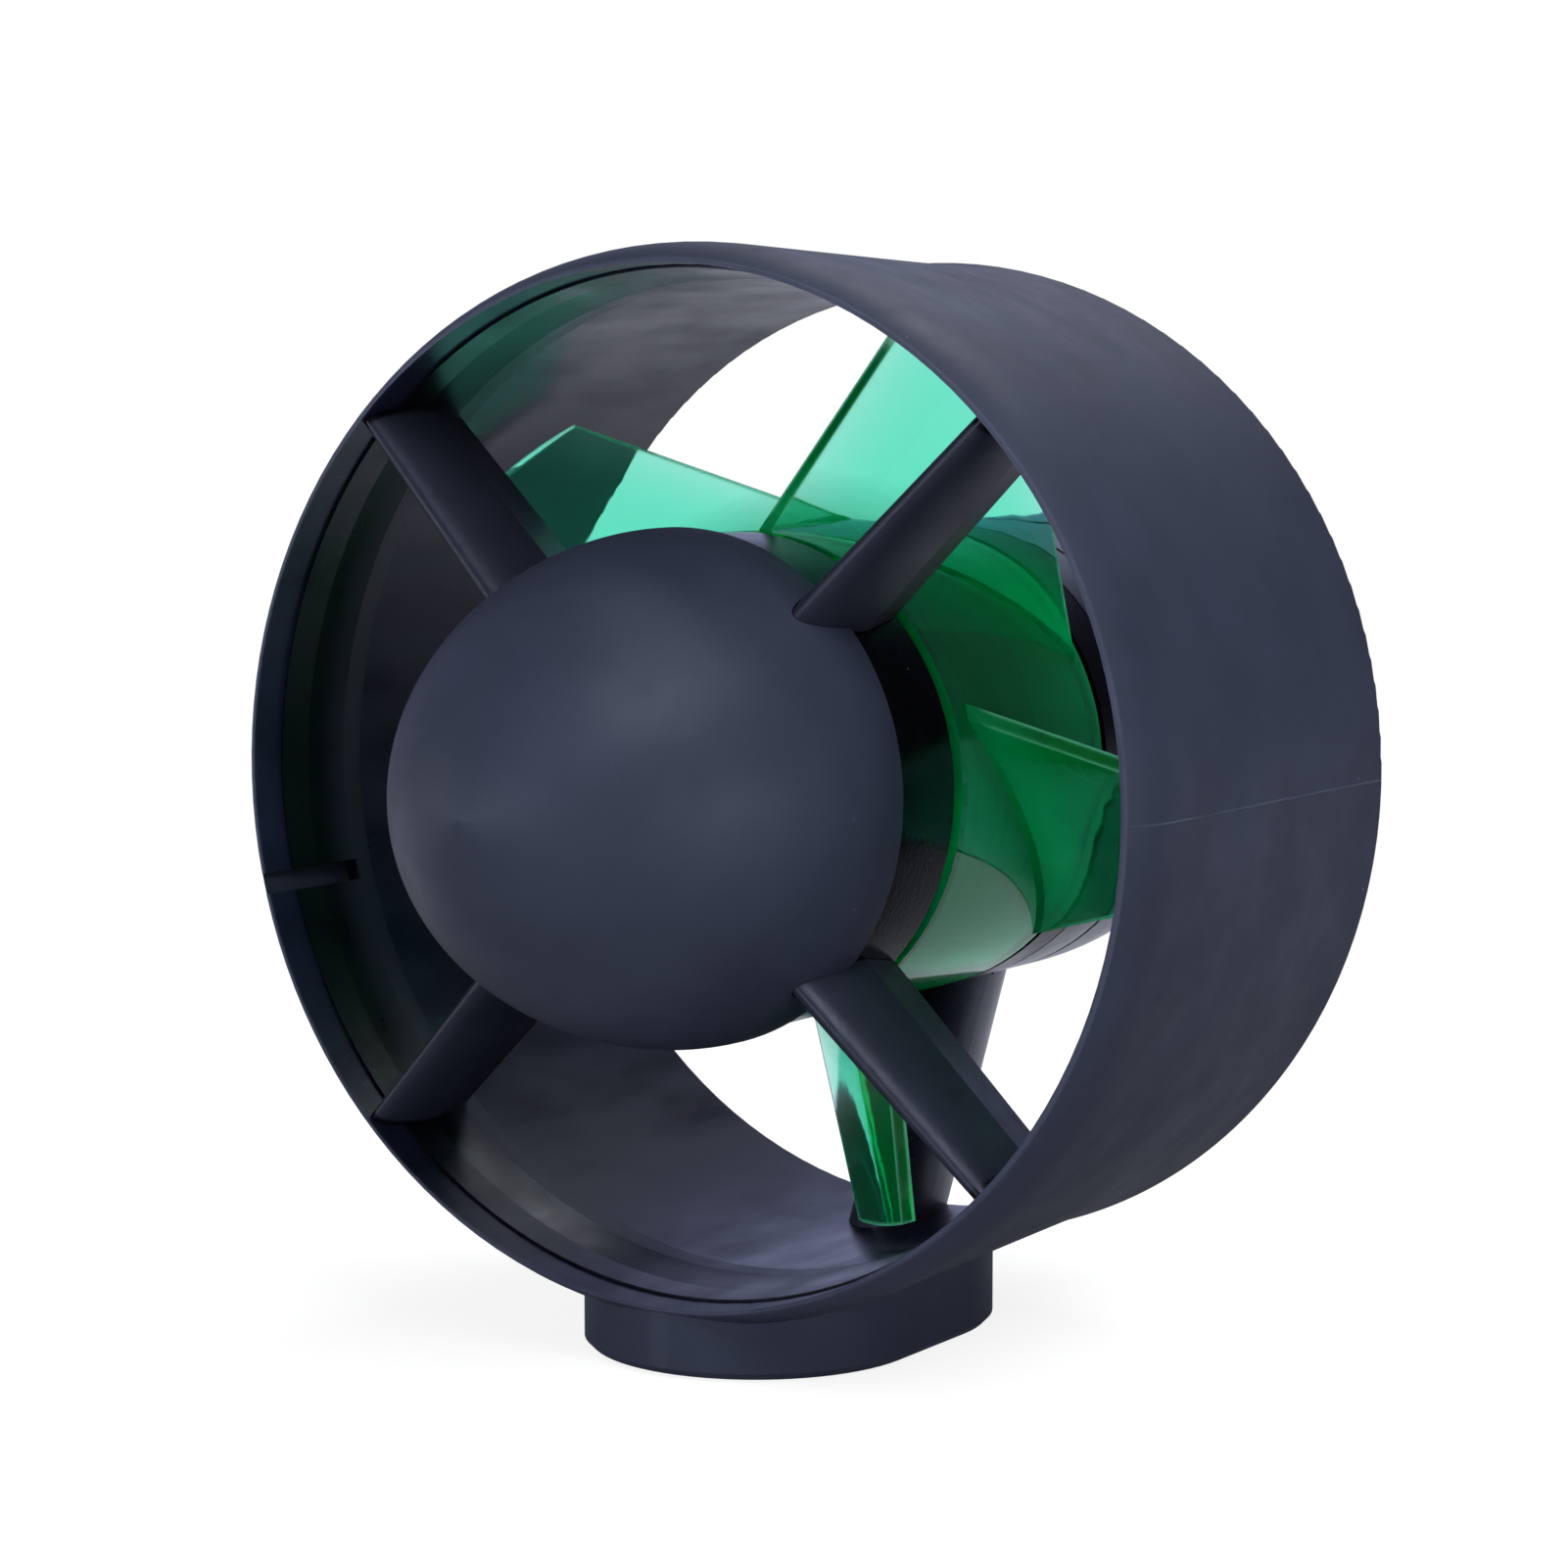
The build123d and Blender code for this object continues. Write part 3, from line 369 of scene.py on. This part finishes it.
# Cable grommet and tail seal.
# Both are moulded nitrile rubber, pressed in a pocket and in a groove.
# The rubber is dull black with a dusty bloom, and its skin is finely pebbled.
def nitrile_rubber(name, colour, bloom_colour):
    bloom_size, pebble_size, pebble_depth = 0.002, 0.0003, 0.00002
    material, tree, shader, coordinates = start_material(name)
    bloom = noise(tree, coordinates, bloom_size, 4.0, 0.65)
    bloom_share = band_share(tree, bloom, 0.4, 0.75, 0.0, 0.6)
    pebbles = add_node(tree, "ShaderNodeTexVoronoi", inputs={
        "Vector": coordinates, "Scale": 1 / pebble_size}).outputs["Distance"]
    finish_surface(
        tree, shader, blend(tree, bloom_share, linear(colour), linear(bloom_colour)),
        vary(tree, bloom, 0.62, 0.82), pebbles, pebble_depth)
    return material


rubber = nitrile_rubber("nitrile_rubber", "#101011", "#242426")
dress("cable_grommet", rubber)
dress("tail_seal", rubber)


# Vane unit.
# The outer ring, four vanes and inner ring, one moulding pressed into the duct's mouth.
# The vanes are satin with handling marks, and the ring's inside is as glossy as the bore, its near-black
# colour painted shade.
# The ring's inside is painted near black, as shade in the duct's mouth.
ring_inside_gloss_and_shade = ("#04050a", 0.3, 0.0362, 0.0359)
dress("vane_unit", moulded_plastic("satin_abs", "#1d202b", 0.42, 0.26, ring_inside_gloss_and_shade))


# Nose cone.
# A hollow moulding of the same ABS, slotted over the vane roots.
# It is matt all over, so that lamps spread on it in a wide soft patch.
dress("nose_cone", moulded_plastic("matt_abs", "#262a38", 0.53, 0.28))


# Front screws, and the other small screws.
# Stainless socket screws through the band and the inner ring into the nose cone, four more in
# the bell, two grub screws on the shaft and four in the pod's bulkhead. They are bright drawn wire.
stainless = turned_metal("stainless_steel", "#a9abb0", 0.28, 0.0002, 0.000004)
for part in ("front_screws", "propeller_screws", "bell_grub_screws", "motor_mount_screws"):
    dress(part, stainless)


# Bearing housing.
# The dark band behind the nose cone, moulded in black acetal and polished on the outside.
# It holds the front bushing in a boss at its middle.
dress("bearing_housing", moulded_plastic("polished_black_acetal", "#030405", 0.22, 0.07))


# Bushings and thrust washers.
# Plain bearings machined from cream-coloured bearing plastic, pressed in the housing and in the
# motor base. They run wet, and have the dull, slightly waxy face of that plastic.
def machined_plastic(name, colour, roughness, pitch):
    stain_size, mark_depth, uneven_gloss = 0.003, 0.000008, 0.06
    material, tree, shader, coordinates = start_material(name)
    marks = tool_marks(tree, axis_radius(tree, coordinates), pitch)
    stain = noise(tree, coordinates, stain_size, 3.0)
    finish_surface(
        tree, shader, mottle(tree, colour, stain, 0.88, 1.06),
        vary(tree, marks, roughness - uneven_gloss, roughness + uneven_gloss), marks, mark_depth)
    return material


bearing_plastic = machined_plastic("bearing_plastic", "#b9ab8c", 0.5, 0.00015)
for part in ("front_bushing", "centre_bushing", "rear_bushing", "front_thrust_washer", "rear_thrust_washer"):
    dress(part, bearing_plastic)


# Shaft and clip.
# A ground steel shaft, fixed in the bell by the grub screws and held behind by a spring clip.
# Grinding leaves very fine rings along it, far closer than the lathe's on the bell.
ground_steel = turned_metal("ground_steel", "#b4b6ba", 0.2, 0.00008, 0.000002)
dress("shaft", ground_steel)
dress("shaft_clip", ground_steel)


# Motor bell and magnets.
# The bell is turned aluminium, pressed into the propeller's hub, and shows grey through it.
# Its fourteen magnets are nickel plated and glued around its inside.
dress("motor_bell", turned_metal("turned_aluminium", "#9c9ea3", 0.34, 0.00025, 0.000008))
dress("rotor_magnets", turned_metal("nickel_plate", "#b9b6ae", 0.16, 0.0006, 0.000001))


# Stator.
# A stack of coated steel sheets, 0.35 mm each, whose edges show as lines around it, with twelve
# coils of copper wire in clear amber enamel. The wire lines are drawn 0.32 mm apart.
def layered(name, colour, gap_colour, roughness, metallic, pitch, depth, by_radius):
    stain_size = 0.003
    material, tree, shader, coordinates = start_material(name)
    if by_radius:
        measure = axis_radius(tree, coordinates)
    else:
        measure = add_node(tree, "ShaderNodeSeparateXYZ", inputs={"Vector": coordinates}).outputs["Y"]
    rise = band_share(tree, combine(tree, "PINGPONG", measure, pitch / 2), 0.0, pitch / 4)
    stain = noise(tree, coordinates, stain_size, 3.0)
    finish_surface(
        tree, shader, blend(tree, rise, linear(gap_colour), mottle(tree, colour, stain, 0.82, 1.1)),
        vary(tree, stain, roughness - 0.06, roughness + 0.08), rise, depth)
    shader.inputs["Metallic"].default_value = metallic
    return material


sheet_pitch, wire_pitch = 0.00035, 0.00032
dress("stator_core", layered(
    "coated_steel_sheets", "#3b3f3d", "#141615", 0.45, 0.6, sheet_pitch, 0.00004, by_radius=False))
copper = layered(
    "enamelled_copper", "#b5602a", "#3a1a0a", 0.32, 0.85, wire_pitch, 0.00008, by_radius=True)
enamel = copper.node_tree.nodes["Principled BSDF"]
enamel.inputs["Coat Weight"].default_value = 0.6
enamel.inputs["Coat Roughness"].default_value = 0.12
dress("stator_windings", copper)


# Motor base.
# The dark collar at the pod's front, moulded in the same black acetal as the band.
# Four screws hold it to the pod, and its tube carries the stator and two bushings.
dress("motor_base", moulded_plastic("black_acetal", "#020203", 0.3, 0.08))


# Motor pod and tail cone.
# The pod is moulded with its strut, and the tail cone closes it from behind with a spigot.
# Both are satin, so that the white paper behind them shows along their upper and lower edges.
pod_abs = moulded_plastic("satin_black_abs", "#242832", 0.32, 0.5)
dress("motor_pod", pod_abs)
dress("tail_cone", pod_abs)


# Propeller.
# One moulding of clear green polycarbonate, five blades on a hub, polished in the tool. The thick
# hub is deeper green, cloudy and faintly rippled, and a paler green on the blades' edges is a painted
# highlight.
smudge_size, flow_size, flow_stretch, flow_depth = 0.004, 0.003, 0.12, 0.00003
dye_colour, dye_density = (0.16, 0.966, 0.816, 1.0), 1100.0
hub_radius, clear_radius, hub_cloud, blade_cloud = 0.0182, 0.023, 0.36, 0.07
edge_radius, edge_highlight_strength, blade_root, edge_highlight_start = 0.00045, 0.7, 0.0186, 0.0196


def lit_through(tree, share_through, front_colour, through_colour):
    front = add_node(tree, "ShaderNodeBsdfDiffuse", inputs={"Color": front_colour})
    through = add_node(tree, "ShaderNodeBsdfTranslucent", inputs={"Color": through_colour})
    return mix_shaders(tree, share_through, front, through)


green, tree, green_shader, coordinates = start_material("clear_green_polycarbonate")
green_shader.inputs["Base Color"].default_value = (0.85, 1.0, 0.98, 1.0)
green_shader.inputs["IOR"].default_value = 1.58
green_shader.inputs["Transmission Weight"].default_value = 1.0
smudges = noise(tree, coordinates, smudge_size, 3.0, 0.6)
tree.links.new(band_share(tree, smudges, 0.4, 0.7, 0.015, 0.09), green_shader.inputs["Roughness"])
flow_map = add_node(tree, "ShaderNodeMapping", inputs={
    "Vector": coordinates, "Scale": (1.0, flow_stretch, 1.0)}).outputs[0]
ripple = add_node(tree, "ShaderNodeBump", inputs={
    "Height": noise(tree, flow_map, flow_size, 2.0), "Distance": flow_depth, "Strength": 1.0})
tree.links.new(ripple.outputs[0], green_shader.inputs["Normal"])
dye = add_node(tree, "ShaderNodeVolumeAbsorption", inputs={"Color": dye_colour, "Density": dye_density})
tree.links.new(dye.outputs[0], tree.nodes["Material Output"].inputs["Volume"])
cloud = lit_through(tree, 0.5, (0.0, 0.92, 0.3, 1.0), (0.0, 0.96, 0.34, 1.0))
radius = axis_radius(tree, coordinates)
cloud_share = band_share(tree, radius, hub_radius, clear_radius, hub_cloud, blade_cloud)
body = mix_shaders(tree, cloud_share, green_shader, cloud)
# A paler green along the blades' rounded edges, beyond the root: a painted highlight.
rounded = add_node(tree, "ShaderNodeBevel", {"samples": 6}, {"Radius": edge_radius}).outputs[0]
facing = add_node(tree, "ShaderNodeNewGeometry").outputs["Normal"]
bend = add_node(tree, "ShaderNodeVectorMath", {"operation": "DOT_PRODUCT"}, {
    0: rounded, 1: facing}).outputs["Value"]
edge_highlight_share = band_share(tree, bend, 0.9, 0.99, edge_highlight_strength, 0.0)
edge_highlight_share = product(tree, edge_highlight_share, band_share(tree, radius, blade_root, edge_highlight_start))
edge_highlight = lit_through(tree, 0.5, (0.25, 0.95, 0.6, 1.0), (0.3, 0.98, 0.7, 1.0))
body = mix_shaders(tree, edge_highlight_share, body, edge_highlight)
tree.links.new(body.outputs[0], tree.nodes["Material Output"].inputs["Surface"])
dress("propeller", green)
